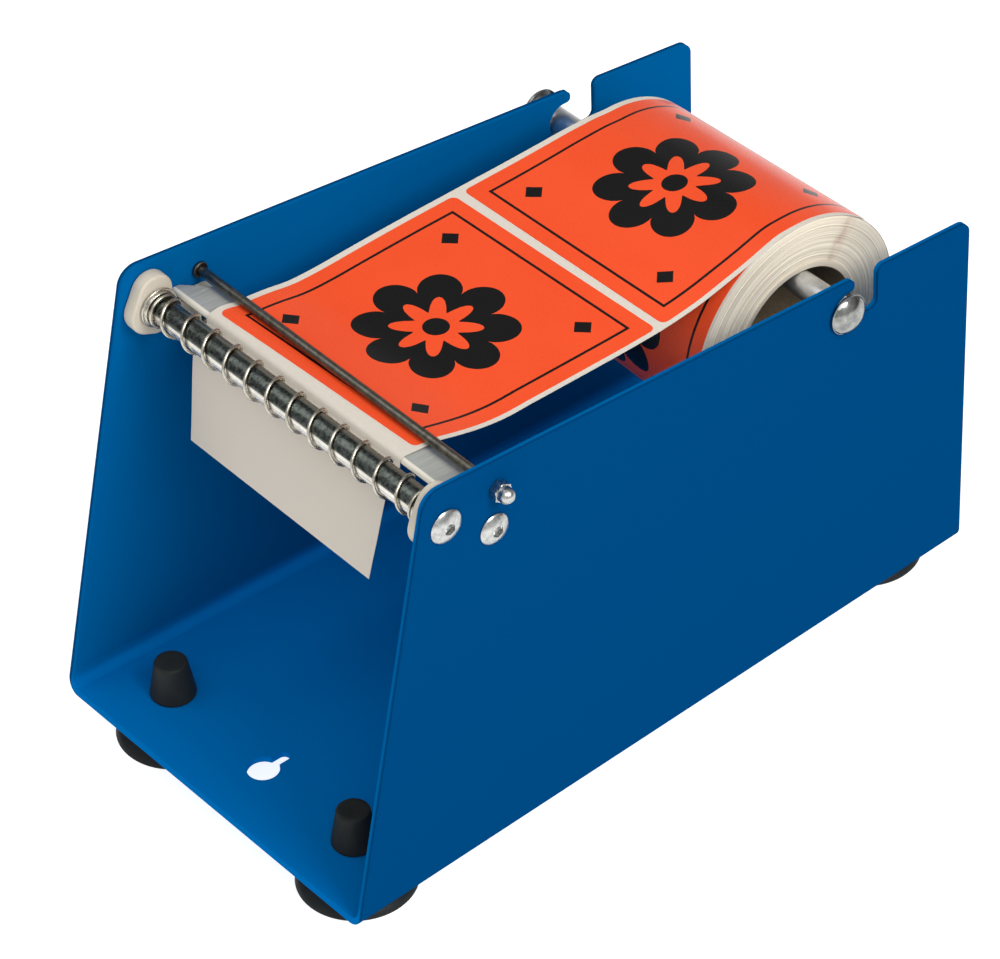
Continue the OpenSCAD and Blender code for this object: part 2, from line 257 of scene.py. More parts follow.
def plate_material():
    """Grey coated plate, with a painted highlight along its rounded nose, a painted stripe of the rod's shadow and
    reflection, and painted shade on its underside.
    """
    g = Mat("plate_plastic", (0.4, 0.41, 0.4), 0.22, spec=0.5)
    x, y, z = g.xyz()
    streak = g.noise(1.0, 3.0, 0.6, vec=g.scaled(900.0, 60.0, 60.0))
    # painted highlight: the rounded nose is painted bright cream
    nose = g.range(y, (60.3 + Y0) / 1000.0, (59.8 + Y0) / 1000.0, 0.0, 1.0)
    # painted shade: a blue-grey stripe under the rod, where the rod's shadow and reflection fall on the plate
    rear = g.math("MULTIPLY", g.range(y, (69.2 + Y0) / 1000.0, (69.8 + Y0) / 1000.0, 0.0, 1.0),
                  g.range(y, (71.4 + Y0) / 1000.0, (70.8 + Y0) / 1000.0, 0.0, 1.0))
    # painted shade: below z 157 mm the plate's front face and underside are painted a dark brownish grey
    underside_painted_shade = g.range(z, (156.9 + Z0) / 1000.0, (157.7 + Z0) / 1000.0, 1.0, 0.0)
    grey = g.mix(g.range(streak, 0.25, 0.75, 0.0, 1.0), (0.30, 0.31, 0.30), (0.40, 0.41, 0.385))
    grey = g.mix(g.math("MULTIPLY", rear, 0.6), grey, (0.17, 0.22, 0.30))
    c = g.mix(nose, grey, (0.76, 0.72, 0.62))
    c = g.mix(underside_painted_shade, c, (0.30, 0.27, 0.20))
    g.put(c, "Base Color")
    g.put(g.range(streak, 0.2, 0.8, 0.16, 0.30), "Roughness")
    g.put(g.bump(streak, 0.10, 0.00003), "Normal")
    return g.m


def steel(name, lo, hi, rough_lo, rough_hi, cell=700.0, grain=(1.0, 1.0, 1.0), bump=0.08):
    """Plated or bright steel: cloudy zinc bloom, fine grain and a few darker pits."""
    g = Mat(name, lo, rough_lo, metal=1.0)
    cloud = g.noise(cell, 4.0, 0.62)
    fine = g.noise(1.0, 3.0, 0.6, vec=g.scaled(*[3000.0 * k for k in grain]))
    pit = g.noise(cell * 2.2, 2.0, 0.7)
    c = g.mix(g.range(cloud, 0.32, 0.68, 0.0, 1.0), lo, hi)
    c = g.mix(g.range(pit, 0.66, 0.80, 0.0, 0.5), c, tuple(0.45 * v for v in lo))
    g.put(c, "Base Color")
    r = g.math("ADD", g.math("MULTIPLY", cloud, rough_hi - rough_lo), g.math("MULTIPLY", fine, 0.08))
    g.put(g.math("ADD", r, rough_lo - 0.04), "Roughness")
    g.put(g.bump(fine, bump, 0.00003), "Normal")
    return g.m


def bar_material():
    """Galvanised bar, coloured by angle round it: a dark mottled band along the side that faces the operator and bright
    bands above and below are painted reflections.
    """
    g = Mat("bar_steel", (0.5, 0.5, 0.5), 0.16, metal=1.0)
    x, y, z = g.xyz()
    dy = g.math("SUBTRACT", y, (BARC[0] + Y0) / 1000.0)
    dz = g.math("SUBTRACT", z, (BARC[1] + Z0) / 1000.0)
    ang = g.math("ARCTAN2", dz, g.math("MULTIPLY", dy, -1.0))
    wob = g.noise(260.0, 3.0, 0.6)
    ang = g.math("ADD", ang, g.math("MULTIPLY", g.math("SUBTRACT", wob, 0.5), 0.05))
    # painted reflections: up, dn and line cut the bar by angle into the painted top, front and low bands
    up = g.range(ang, 1.70, 1.66, 0.0, 1.0)
    dn = g.range(ang, 0.28, 0.36, 0.0, 1.0)
    line = g.math("MULTIPLY", g.range(ang, -0.12, -0.04, 0.0, 1.0), g.range(ang, 0.10, 0.02, 0.0, 1.0))
    mott = g.noise(620.0, 5.0, 0.68)
    front_band_painted_reflection = g.mix(g.range(mott, 0.36, 0.64, 0.0, 1.0), (0.040, 0.048, 0.044), (0.165, 0.185, 0.172))
    # painted reflections: the low band is painted bright with a thin darker line, the top band a warm grey
    low = g.mix(g.range(wob, 0.3, 0.7, 0.0, 1.0), (0.60, 0.575, 0.51), (0.80, 0.77, 0.70))
    low = g.mix(g.math("MULTIPLY", line, 0.5), low, (0.20, 0.21, 0.22))
    top = g.mix(g.range(mott, 0.3, 0.7, 0.0, 1.0), (0.22, 0.215, 0.165), (0.34, 0.33, 0.26))
    c = g.mix(dn, low, front_band_painted_reflection)
    c = g.mix(g.math("SUBTRACT", 1.0, up), c, top)
    g.put(c, "Base Color")
    g.put(g.range(mott, 0.3, 0.7, 0.20, 0.38), "Roughness")
    g.put(g.bump(mott, 0.08, 0.00004), "Normal")
    return g.m


def rubber():
    g = Mat("black_rubber", (0.02, 0.02, 0.02), 0.5, spec=0.14)
    broad = g.noise(90.0, 3.0, 0.6)
    fine = g.noise(1600.0, 3.0, 0.65)
    g.put(g.mix(g.range(broad, 0.3, 0.7, 0.0, 1.0), (0.015, 0.017, 0.016), (0.023, 0.026, 0.025)), "Base Color")
    g.put(g.range(fine, 0.3, 0.7, 0.36, 0.56), "Roughness")
    g.put(g.bump(fine, 0.25, 0.00006), "Normal")
    return g.m


def polar(g):
    """Radius and angle about the roll's axis, in metres and radians."""
    x, y, z = g.xyz()
    dy = g.math("SUBTRACT", y, (ROLL[0] + Y0) / 1000.0)
    dz = g.math("SUBTRACT", z, (ROLL[1] + Z0) / 1000.0)
    r = g.math("SQRT", g.math("ADD", g.math("MULTIPLY", dy, dy), g.math("MULTIPLY", dz, dz)))
    return x, r, g.math("ARCTAN2", dy, dz)


def roll_side():
    """Cut edges of the wound layers."""
    g = Mat("roll_side", (0.72, 0.66, 0.56), 0.62, spec=0.3)
    x, r, a = polar(g)
    v = g.vec(g.math("MULTIPLY", r, 2600.0), g.math("MULTIPLY", a, 0.35), 0.0)
    lay = g.noise(1.0, 3.0, 0.75, vec=v)
    v2 = g.vec(g.math("MULTIPLY", r, 420.0), g.math("MULTIPLY", a, 0.6), 3.0)
    band = g.noise(1.0, 2.0, 0.5, vec=v2)
    c = g.mix(g.range(lay, 0.30, 0.70, 0.0, 1.0), (0.66, 0.565, 0.43), (0.90, 0.82, 0.67))
    c = g.mix(g.range(band, 0.35, 0.65, 0.0, 0.45), c, (0.85, 0.765, 0.62))
    # a faint smear of label ink across the cut edges
    w = g.noise(180.0, 3.0, 0.6)
    ac = g.math("ADD", a, g.math("MULTIPLY", g.math("SUBTRACT", w, 0.5), 0.10))
    smear = g.math("MULTIPLY", g.range(ac, 0.50, 0.60, 0.0, 1.0), g.range(ac, 0.72, 0.60, 0.0, 1.0))
    smear = g.math("MULTIPLY", smear, g.range(w, 0.35, 0.65, 0.05, 0.55))
    c = g.mix(smear, c, (0.40, 0.20, 0.15))
    g.put(c, "Base Color")
    g.put(g.bump(lay, 0.35, 0.00012), "Normal")
    return g.m


def cardboard():
    """Brown spiral-wound core; its cut ends are pale."""
    g = Mat("cardboard", (0.3, 0.2, 0.11), 0.8, spec=0.2)
    x, r, a = polar(g)
    fib = g.noise(1.0, 4.0, 0.65, vec=g.scaled(500.0, 1400.0, 1400.0))
    big = g.noise(70.0, 3.0, 0.6)
    c = g.mix(g.range(fib, 0.25, 0.75, 0.0, 1.0), (0.26, 0.185, 0.105), (0.42, 0.32, 0.20))
    c = g.mix(g.range(big, 0.35, 0.65, 0.0, 0.4), c, (0.44, 0.34, 0.22))
    turn = g.math("FRACT", g.math("ADD", g.math("MULTIPLY", x, 1000.0 / 52.0), g.math("MULTIPLY", a, 1.0 / (2 * math.pi))))
    seam = g.math("MULTIPLY", g.range(turn, 0.485, 0.5, 0.0, 1.0), g.range(turn, 0.515, 0.5, 0.0, 1.0))
    c = g.mix(g.math("MULTIPLY", seam, 0.7), c, (0.05, 0.03, 0.015))
    end = g.range(r, 0.02665, 0.02685, 0.0, 1.0)
    c = g.mix(end, c, (0.62, 0.55, 0.44))
    g.put(c, "Base Color")
    g.put(g.bump(g.math("ADD", fib, g.math("MULTIPLY", seam, -1.5)), 0.35, 0.00012), "Normal")
    return g.m


def liner():
    """Silicone-coated backing paper."""
    g = Mat("liner_paper", (0.66, 0.61, 0.53), 0.46, spec=0.25)
    fib = g.noise(1.0, 4.0, 0.6, vec=g.scaled(420.0, 900.0, 900.0))
    big = g.noise(26.0, 3.0, 0.5)
    c = g.mix(g.range(fib, 0.3, 0.7, 0.0, 1.0), (0.640, 0.585, 0.505), (0.690, 0.635, 0.555))
    c = g.mix(g.range(big, 0.3, 0.7, 0.0, 0.5), c, (0.625, 0.58, 0.51))
    x, y, z = g.xyz()
    # painted shade: the liner is painted darker below z 150-153 mm, on the hanging tail
    c = g.mix(g.range(z, (150.0 + Z0) / 1000.0, (153.0 + Z0) / 1000.0, 1.0, 0.0), c, (0.575, 0.525, 0.455))
    g.put(c, "Base Color")
    g.put(g.range(fib, 0.3, 0.7, 0.34, 0.48), "Roughness")
    g.put(g.bump(fib, 0.10, 0.00004), "Normal")
    return g.m


ORANGE_LO, ORANGE_HI = (0.81, 0.074, 0.018), (0.85, 0.084, 0.022)


def box_mask(g, px, py, hx, hy, r):
    """1 inside a rounded box centred on 0, with half sizes hx and hy in mm."""
    qx = g.math("MAXIMUM", g.math("SUBTRACT", g.math("ABSOLUTE", px), hx - r), 0.0)
    qy = g.math("MAXIMUM", g.math("SUBTRACT", g.math("ABSOLUTE", py), hy - r), 0.0)
    d = g.math("SQRT", g.math("ADD", g.math("MULTIPLY", qx, qx), g.math("MULTIPLY", qy, qy)))
    return g.range(d, r - 0.04, r + 0.04, 1.0, 0.0)


def print_mask(g, mx, my, w, h):
    """Black print on one label: a thin frame, a round rosette and four small diamonds."""
    px = g.math("SUBTRACT", mx, w / 2)
    py = g.math("SUBTRACT", my, h / 2)
    outer = box_mask(g, px, py, w / 2 - 6.0, h / 2 - 6.0, 0.3)
    inner = box_mask(g, px, py, w / 2 - 7.1, h / 2 - 7.1, 0.2)
    line = g.math("SUBTRACT", outer, inner, clamp=True)
    r = g.math("SQRT", g.math("ADD", g.math("MULTIPLY", px, px), g.math("MULTIPLY", py, py)))
    a = g.math("ARCTAN2", py, px)
    lobe = g.math("ABSOLUTE", g.math("COSINE", g.math("MULTIPLY", a, 4.0)))
    edge = g.math("ADD", 19.0, g.math("MULTIPLY", g.math("POWER", lobe, 0.6), 9.5))
    petal = g.range(g.math("SUBTRACT", r, edge), -0.05, 0.05, 1.0, 0.0)
    hole_edge = g.math("ADD", 8.0, g.math("MULTIPLY", g.math("POWER", lobe, 1.6), 8.0))
    hole = g.range(g.math("SUBTRACT", r, hole_edge), -0.05, 0.05, 1.0, 0.0)
    core = g.range(r, 4.6, 4.7, 1.0, 0.0)
    ros = g.math("MAXIMUM", g.math("SUBTRACT", petal, hole, clamp=True), core)
    ax = g.math("ABSOLUTE", g.math("SUBTRACT", g.math("ABSOLUTE", px), w / 2 - 17.0))
    ay = g.math("ABSOLUTE", g.math("SUBTRACT", g.math("ABSOLUTE", py), h / 2 - 17.0))
    dia = g.range(g.math("ADD", ax, ay), 3.9, 4.0, 1.0, 0.0)
    return g.math("MAXIMUM", g.math("MAXIMUM", line, ros), dia)


def orange_of(g):
    fine = g.noise(1800.0, 2.0, 0.5)
    big = g.noise(30.0, 2.0, 0.5)
    c = g.mix(g.range(big, 0.3, 0.7, 0.0, 1.0), ORANGE_LO, ORANGE_HI)
    return g.mix(g.range(fine, 0.3, 0.7, 0.0, 0.05), c, (0.90, 0.13, 0.05)), fine


LAB_W, LAB_H = 100.0, 105.0


def label_paper():
    g = Mat("label_paper", ORANGE_LO, 0.26, spec=0.22, coat=0.12, coat_rough=0.10)
    u, v = g.uv()
    ink = print_mask(g, g.math("MULTIPLY", u, LAB_W), g.math("MULTIPLY", v, LAB_H), LAB_W, LAB_H)
    c, fine = orange_of(g)
    g.put(g.mix(ink, c, (0.006, 0.006, 0.006)), "Base Color")
    g.put(g.range(fine, 0.3, 0.7, 0.26, 0.36), "Roughness")
    g.put(g.bump(g.math("ADD", g.math("MULTIPLY", fine, 0.15), g.math("MULTIPLY", ink, 0.3)), 0.06, 0.00003), "Normal")
    return g.m


def roll_outer():
    """Outermost lap of the roll: three labels round it, with bare liner between them."""
    g = Mat("roll_paper", ORANGE_LO, 0.26, spec=0.22, coat=0.12, coat_rough=0.10)
    u, v = g.uv()
    w, pitch = ROLL_X1 - ROLL_X0, 2 * math.pi * 46.0 / 3
    mx = g.math("MULTIPLY", u, w)
    my = g.math("MULTIPLY", g.math("FRACT", g.math("MULTIPLY", v, 3.0)), pitch)
    on = box_mask(g, g.math("SUBTRACT", mx, w / 2), g.math("SUBTRACT", my, pitch / 2), w / 2 - 1.4, pitch / 2 - 2.2, 2.5)
    ink = print_mask(g, g.math("SUBTRACT", mx, 1.0), g.math("SUBTRACT", my, 2.0), w - 2.0, pitch - 4.0)
    c, fine = orange_of(g)
    c = g.mix(g.math("MULTIPLY", ink, on), c, (0.006, 0.006, 0.006))
    g.put(g.mix(on, (0.66, 0.61, 0.53), c), "Base Color")
    g.put(g.range(fine, 0.3, 0.7, 0.26, 0.36), "Roughness")
    g.put(g.bump(g.math("ADD", g.math("MULTIPLY", fine, 0.2), on), 0.25, 0.0001), "Normal")
    return g.m


M = {
    "blue": blue_paint(),
    # painted highlight: the bevelled rims of the sheet get a lighter blue than the flat paint, with more gloss
    "edge": blue_paint("blue_edge_painted_highlight", (0.0, 0.110, 0.33), (0.0, 0.125, 0.36), 0.30, 0.35, (1.0, 1.0)),
    "cream": cream_plastic(),
    "plate": plate_material(),
    "bar": bar_material(),
    "spring": steel("spring_steel", (0.42, 0.385, 0.31), (0.66, 0.62, 0.53), 0.20, 0.34, cell=500.0, bump=0.05),
    "collar": steel("collar_steel", (0.46, 0.44, 0.38), (0.74, 0.71, 0.63), 0.18, 0.34, cell=420.0),
    "zinc": steel("zinc_steel", (0.34, 0.345, 0.335), (0.60, 0.605, 0.585), 0.20, 0.36, cell=520.0),
    "rod": steel("rod_steel", (0.10, 0.095, 0.078), (0.22, 0.21, 0.175), 0.30, 0.44, cell=380.0, grain=(0.08, 1, 1)),
    "dome": steel("dome_steel", (0.20, 0.205, 0.195), (0.40, 0.405, 0.385), 0.14, 0.24, cell=300.0, bump=0.04),
    "tube": steel("tube_steel", (0.56, 0.58, 0.60), (0.74, 0.76, 0.77), 0.30, 0.42, cell=260.0, grain=(0.05, 1, 1)),
    "card": cardboard(),
    "side": roll_side(),
    "outer": roll_outer(),
    "liner": liner(),
    "label": label_paper(),
    "rubber": rubber(),
}


# ------------------------------------------------------------------ mesh helpers
def finish_mesh(name, verts, faces, mats, body, nodes=(), slot=None, angle=35.0, index=None, uvs=None, convert=True, ride=True):
    me = bpy.data.meshes.new(name)
    me.from_pydata([row(*v) for v in verts] if convert else [tuple(v) for v in verts], [], faces)
    for m in mats:
        me.materials.append(M[m])
    if index:
        me.polygons.foreach_set("material_index", index)
    if uvs:
        layer = me.uv_layers.new(name="UVMap")
        flat = []
        for lo in me.loops:
            flat.extend(uvs[lo.vertex_index])
        layer.data.foreach_set("uv", flat)
    me.update()
    bm = bmesh.new()
    bm.from_mesh(me)
    bmesh.ops.recalc_face_normals(bm, faces=bm.faces)
    bm.to_mesh(me)
    bm.free()
    me.shade_smooth()
    me.set_sharp_from_angle(angle=math.radians(angle))
    o = bpy.data.objects.new(name, me)
    bpy.context.scene.collection.objects.link(o)
    if ride:
        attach(o, body)
    if nodes:
        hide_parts(*nodes)
    return o


def fillet(points, radii, n=4, closed=True):
    """Rounds the corners of a 2D polyline."""
    out, k = [], len(points)
    for i, p in enumerate(points):
        r = radii[i] if isinstance(radii, (list, tuple)) else radii
        if r <= 0 or (not closed and i in (0, k - 1)):
            out.append(p)
            continue
        a, b = Vector(points[i - 1]), Vector(points[(i + 1) % k])
        q = Vector(p)
        u, v = (a - q), (b - q)
        lu, lv = u.length, v.length
        u.normalize(); v.normalize()
        half = u.angle(v) / 2
        if abs(half - math.pi / 2) < 1e-3:
            out.append(p)
            continue
        d = min(r / math.tan(half), lu * 0.48, lv * 0.48)
        rr = d * math.tan(half)
        c = q + (u + v).normalized() * (rr / math.sin(half))
        p0, p1 = q + u * d - c, q + v * d - c
        ang = p0.angle(p1)
        for j in range(n + 1):
            t = j / n
            s = (math.sin((1 - t) * ang) * p0 + math.sin(t * ang) * p1) / math.sin(ang)
            out.append((c.x + s.x, c.y + s.y))
    return out


def lathe(prof, n=96, closed=True, axis="x", c=(0.0, 0.0), flip=1.0, phase=0.0):
    """Turns a profile of (along, radius) round the axis. Radius 0 points become poles."""
    verts, rings, faces = [], [], []
    for a, r in prof:
        if r <= 1e-9:
            rings.append([len(verts)])
            verts.append((a * flip, c[0], c[1]) if axis == "x" else (c[0], c[1], a))
        else:
            ring = []
            for i in range(n):
                t = 2 * math.pi * i / n + phase
                ring.append(len(verts))
                p, q = r * math.cos(t), r * math.sin(t)
                verts.append((a * flip, c[0] + p, c[1] + q) if axis == "x" else (c[0] + p, c[1] + q, a))
            rings.append(ring)
    pairs = list(zip(rings, rings[1:])) + ([(rings[-1], rings[0])] if closed else [])
    for A, B in pairs:
        if len(A) == 1 and len(B) == 1:
            continue
        for i in range(n):
            j = (i + 1) % n
            if len(A) == 1:
                faces.append((A[0], B[i], B[j]))
            elif len(B) == 1:
                faces.append((A[i], B[0], A[j]))
            else:
                faces.append((A[i], B[i], B[j], A[j]))
    return verts, faces


def join(*parts):
    verts, faces = [], []
    for v, f in parts:
        k = len(verts)
        verts += v
        faces += [tuple(i + k for i in x) for x in f]
    return verts, faces


def mirror(part):
    v, f = part
    return [(-x, y, z) for x, y, z in v], [tuple(reversed(t)) for t in f]


def hexr(t, af):
    k = (t + math.pi / 6) % (math.pi / 3) - math.pi / 6
    return af / 2 / math.cos(k)


def radial(rows_, c, n=96):
    """Rings given by functions of the angle: each row is a function t -> (along, radius)."""
    verts, rings = [], []
    for f in rows_:
        if f is None or isinstance(f, float):
            rings.append([len(verts)])
            verts.append((f, c[0], c[1]))
            continue
        ring = []
        for i in range(n):
            t = 2 * math.pi * i / n
            a, r = f(t)
            ring.append(len(verts))
            verts.append((a, c[0] + r * math.cos(t), c[1] + r * math.sin(t)))
        rings.append(ring)
    faces = []
    for A, B in zip(rings, rings[1:]):
        for i in range(n):
            j = (i + 1) % n
            if len(A) == 1:
                faces.append((A[0], B[i], B[j]))
            elif len(B) == 1:
                faces.append((A[i], B[0], A[j]))
            else:
                faces.append((A[i], B[i], B[j], A[j]))
    return verts, faces


def dome_h(r, head_r, h, z0):
    q = (head_r ** 2 + h ** 2) / (2 * h)
    return z0 + h - q + math.sqrt(max(q * q - r * r, 0.0))


def button(c, x0, head_r, head_h, shank_r, shank_l, af):
    """Button-head screw with a hexagon socket, head outwards from x0."""
    def ring(a, r):
        return lambda t: (a, r)
    h = head_h - 0.5
    rows_ = [x0 - shank_l, ring(x0 - shank_l, shank_r - 0.4), ring(x0 - shank_l + 0.4, shank_r), ring(x0, shank_r),
             ring(x0, head_r - 0.25), ring(x0 + 0.12, head_r - 0.04), ring(x0 + 0.35, head_r)]
    top = head_r
    for i in range(1, 12):
        r = top * (1 - (i / 11.0)) + (af * 0.66) * (i / 11.0)
        rows_.append(ring(x0 + dome_h(r, head_r, h, 0.5), r))
    zt = x0 + dome_h(af * 0.6, head_r, h, 0.5)
    rows_.append(lambda t: (zt, hexr(t, af) + 0.16))
    rows_.append(lambda t: (zt - 0.06, hexr(t, af) + 0.04))
    rows_.append(lambda t: (zt - 0.22, hexr(t, af)))
    rows_.append(lambda t: (zt - 1.9, hexr(t, af)))
    rows_.append(lambda t: (zt - 1.95, hexr(t, af) - 0.1))
    rows_.append(lambda t: (zt - 2.3, 0.8))
    rows_.append(zt - 2.5)
    return radial(rows_, c)


def acorn(c, x0, af, h, dome_r, total):
    """Acorn nut: chamfered hexagon, short neck and round dome."""
    rc = af / 2 * 1.045

    def low(t):
        r = hexr(t, af)
        return (x0, min(r, rc - 0.1))

    def low2(t):
        r = hexr(t, af)
        return (x0 + max(0.0, r - rc + 0.1) * 0.6 + 0.06, r)

    def high(t):
        r = hexr(t, af)
        return (x0 + h - max(0.0, r - rc + 0.1) * 0.6 - 0.06, r)

    def high2(t):
        r = hexr(t, af)
        return (x0 + h, min(r, rc - 0.1))
    rows_ = [x0, low, low2, high, high2, lambda t: (x0 + h + 0.05, dome_r + 0.12), lambda t: (x0 + h + 0.3, dome_r)]
    zc = x0 + total - dome_r
    rows_.append(lambda t: (zc, dome_r))
    for i in range(1, 14):
        a = math.pi / 2 * i / 14
        rows_.append((lambda aa: (lambda t: (zc + dome_r * math.sin(aa), dome_r * math.cos(aa))))(a))
    rows_.append(x0 + total)
    return radial(rows_, c)


def plate2d(loops, thick, bevel, place, res=3):
    """A flat plate with holes and rounded edges, from closed 2D loops; place maps (u, v, w) to section mm, w from 0 to thick."""
    cu = bpy.data.curves.new("tmp_curve", "CURVE")
    cu.dimensions = "2D"
    cu.fill_mode = "BOTH"
    cu.extrude = thick / 2 - bevel
    cu.bevel_depth = bevel
    cu.bevel_resolution = res
    cu.offset = -bevel
    for pts in loops:
        sp = cu.splines.new("POLY")
        sp.points.add(len(pts) - 1)
        for p, q in zip(sp.points, pts):
            p.co = (q[0], q[1], 0.0, 1.0)
        sp.use_cyclic_u = True
    ob = bpy.data.objects.new("tmp_curve", cu)
    bpy.context.scene.collection.objects.link(ob)
    dg = bpy.context.evaluated_depsgraph_get()
    me = bpy.data.meshes.new_from_object(ob.evaluated_get(dg))
    bpy.data.objects.remove(ob)
    bm = bmesh.new()
    bm.from_mesh(me)
    bmesh.ops.remove_doubles(bm, verts=bm.verts, dist=0.004)
    bmesh.ops.dissolve_degenerate(bm, dist=0.004, edges=bm.edges)
    verts = [place(v.co.x, v.co.y, v.co.z + thick / 2) for v in bm.verts]
    bm.verts.index_update()
    faces = [tuple(v.index for v in f.verts) for f in bm.faces]
    bm.free()
    bpy.data.meshes.remove(me)
    return verts, faces


def circle(cx, cy, r, n=48):
    return [(cx + r * math.cos(2 * math.pi * i / n), cy + r * math.sin(2 * math.pi * i / n)) for i in range(n)]


def hull(points):
    pts = sorted(set((round(x, 6), round(y, 6)) for x, y in points))

    def half(seq):
        out = []
        for p in seq:
            while len(out) > 1 and (out[-1][0] - out[-2][0]) * (p[1] - out[-2][1]) - (out[-1][1] - out[-2][1]) * (p[0] - out[-2][0]) <= 0:
                out.pop()
            out.append(p)
        return out
    a, b = half(pts), half(reversed(pts))
    return a[:-1] + b[:-1]


def wall_frame(u, y, z):
    """From the right wall's own frame (u = 0 at its outer face) to section mm."""
    return (85.0 + u * math.cos(TAPER) - y * math.sin(TAPER), u * math.sin(TAPER) + y * math.cos(TAPER), z)


# ------------------------------------------------------------------ chassis
def chassis():
    src = frame["nodes"]["chassis"].data
    me = src.copy()
    me.name = "chassis_shell"
    me.materials.clear()
    me.materials.append(M["blue"])
    me.materials.append(M["edge"])
    bm = bmesh.new()
    bm.from_mesh(me)
    bmesh.ops.remove_doubles(bm, verts=bm.verts, dist=2e-6)
    bmesh.ops.dissolve_limit(bm, angle_limit=math.radians(0.6), verts=bm.verts, edges=bm.edges, use_dissolve_boundaries=False)
    for f in bm.faces:
        f.material_index = 0
        f.smooth = True
    bm.to_mesh(me)
    bm.free()
    for a in [x for x in me.attributes if x.name in ("custom_normal", "sharp_edge", "sharp_face")]:
        me.attributes.remove(a)
    o = bpy.data.objects.new("chassis_shell", me)
    bpy.context.scene.collection.objects.link(o)
    b = o.modifiers.new("edge", "BEVEL")
    b.width = 0.00062
    b.segments = 4
    b.limit_method = "ANGLE"
    b.angle_limit = math.radians(48)
    b.miter_outer = "MITER_SHARP"
    b.harden_normals = False
    # the bevel's faces take the lighter edge paint, a painted highlight
    b.material = 1
    dg = bpy.context.evaluated_depsgraph_get()
    done = bpy.data.meshes.new_from_object(o.evaluated_get(dg))
    o.modifiers.clear()
    o.data = done
    done.name = "chassis_shell"
    done.shade_smooth()
    done.set_sharp_from_angle(angle=math.radians(40))
    w = o.modifiers.new("normals", "WEIGHTED_NORMAL")
    w.keep_sharp = True
    w.weight = 80
    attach(o, "frame")
    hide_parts("chassis")
    return o


chassis()


# ------------------------------------------------------------------ cheeks and plate
def inside(poly, p):
    """Whether point p lies in a convex anticlockwise outline."""
    for a, b in zip(poly, poly[1:] + poly[:1]):
        if (b[0] - a[0]) * (p[1] - a[1]) - (b[1] - a[1]) * (p[0] - a[0]) < 0:
            return False
    return True


def outside_run(a, b):
    """The stretch of outline a that lies outside outline b."""
    dense = []
    for p, q in zip(a, a[1:] + a[:1]):
        m = max(1, int(math.dist(p, q) / 0.5))
        dense += [(p[0] + (q[0] - p[0]) * k / m, p[1] + (q[1] - p[1]) * k / m) for k in range(m)]
    flag = [not inside(b, p) for p in dense]
    start = next(k for k in range(len(dense)) if flag[k] and not flag[k - 1])
    out = []
    for k in range(len(dense)):
        m = (start + k) % len(dense)
        if not flag[m]:
            break
        out.append(dense[m])
    return out


def cheeks():
    up, low = [], []
    for cy, cz, r in ((BAR[0] - 1.5, BAR[1] - 1.5, 8.6), (BAR[0] + 1.0, BAR[1] + 6.2, 7.4), (BAR[0] + 1.5, BAR[1] - 5.0, 6.5)):
        up += circle(cy, cz, r, 72)
    for cy, cz, r in ((BAR[0] + 3.0, BAR[1] - 7.0, 3.8), (CHEEK[0] + 0.5, CHEEK[1] - 0.2, 7.0), (71.5, 153.3, 2.5), (57.0, 153.3, 2.5)):
        low += circle(cy, cz, r, 72)
    a, b = hull(up), hull(low)
    ring = outside_run(a, b) + outside_run(b, a)
    # even out the outline, so that its rounding stays clean in the inner corner
    k = len(ring)
    for _ in range(3):
        ring = [((ring[i - 1][0] + 2 * ring[i][0] + ring[(i + 1) % k][0]) / 4, (ring[i - 1][1] + 2 * ring[i][1] + ring[(i + 1) % k][1]) / 4)
                for i in range(k)]
    loops = [ring, circle(BAR[0], BAR[1], 3.1), circle(CHEEK[0], CHEEK[1], 2.6)]
    part = plate2d(loops, 6.0, 1.1, lambda u, v, w: wall_frame(-8.55 + w, u, v), res=4)
    finish_mesh("cheek_right", *part, ["cream"], "frame", ["end_cheek_right"], "cream_plastic", 50)
    finish_mesh("cheek_left", *mirror(part), ["cream"], "frame", ["end_cheek_left"], "cream_plastic", 50)


cheeks()


def lerp2(a, b, t):
    return a + (b - a) * t


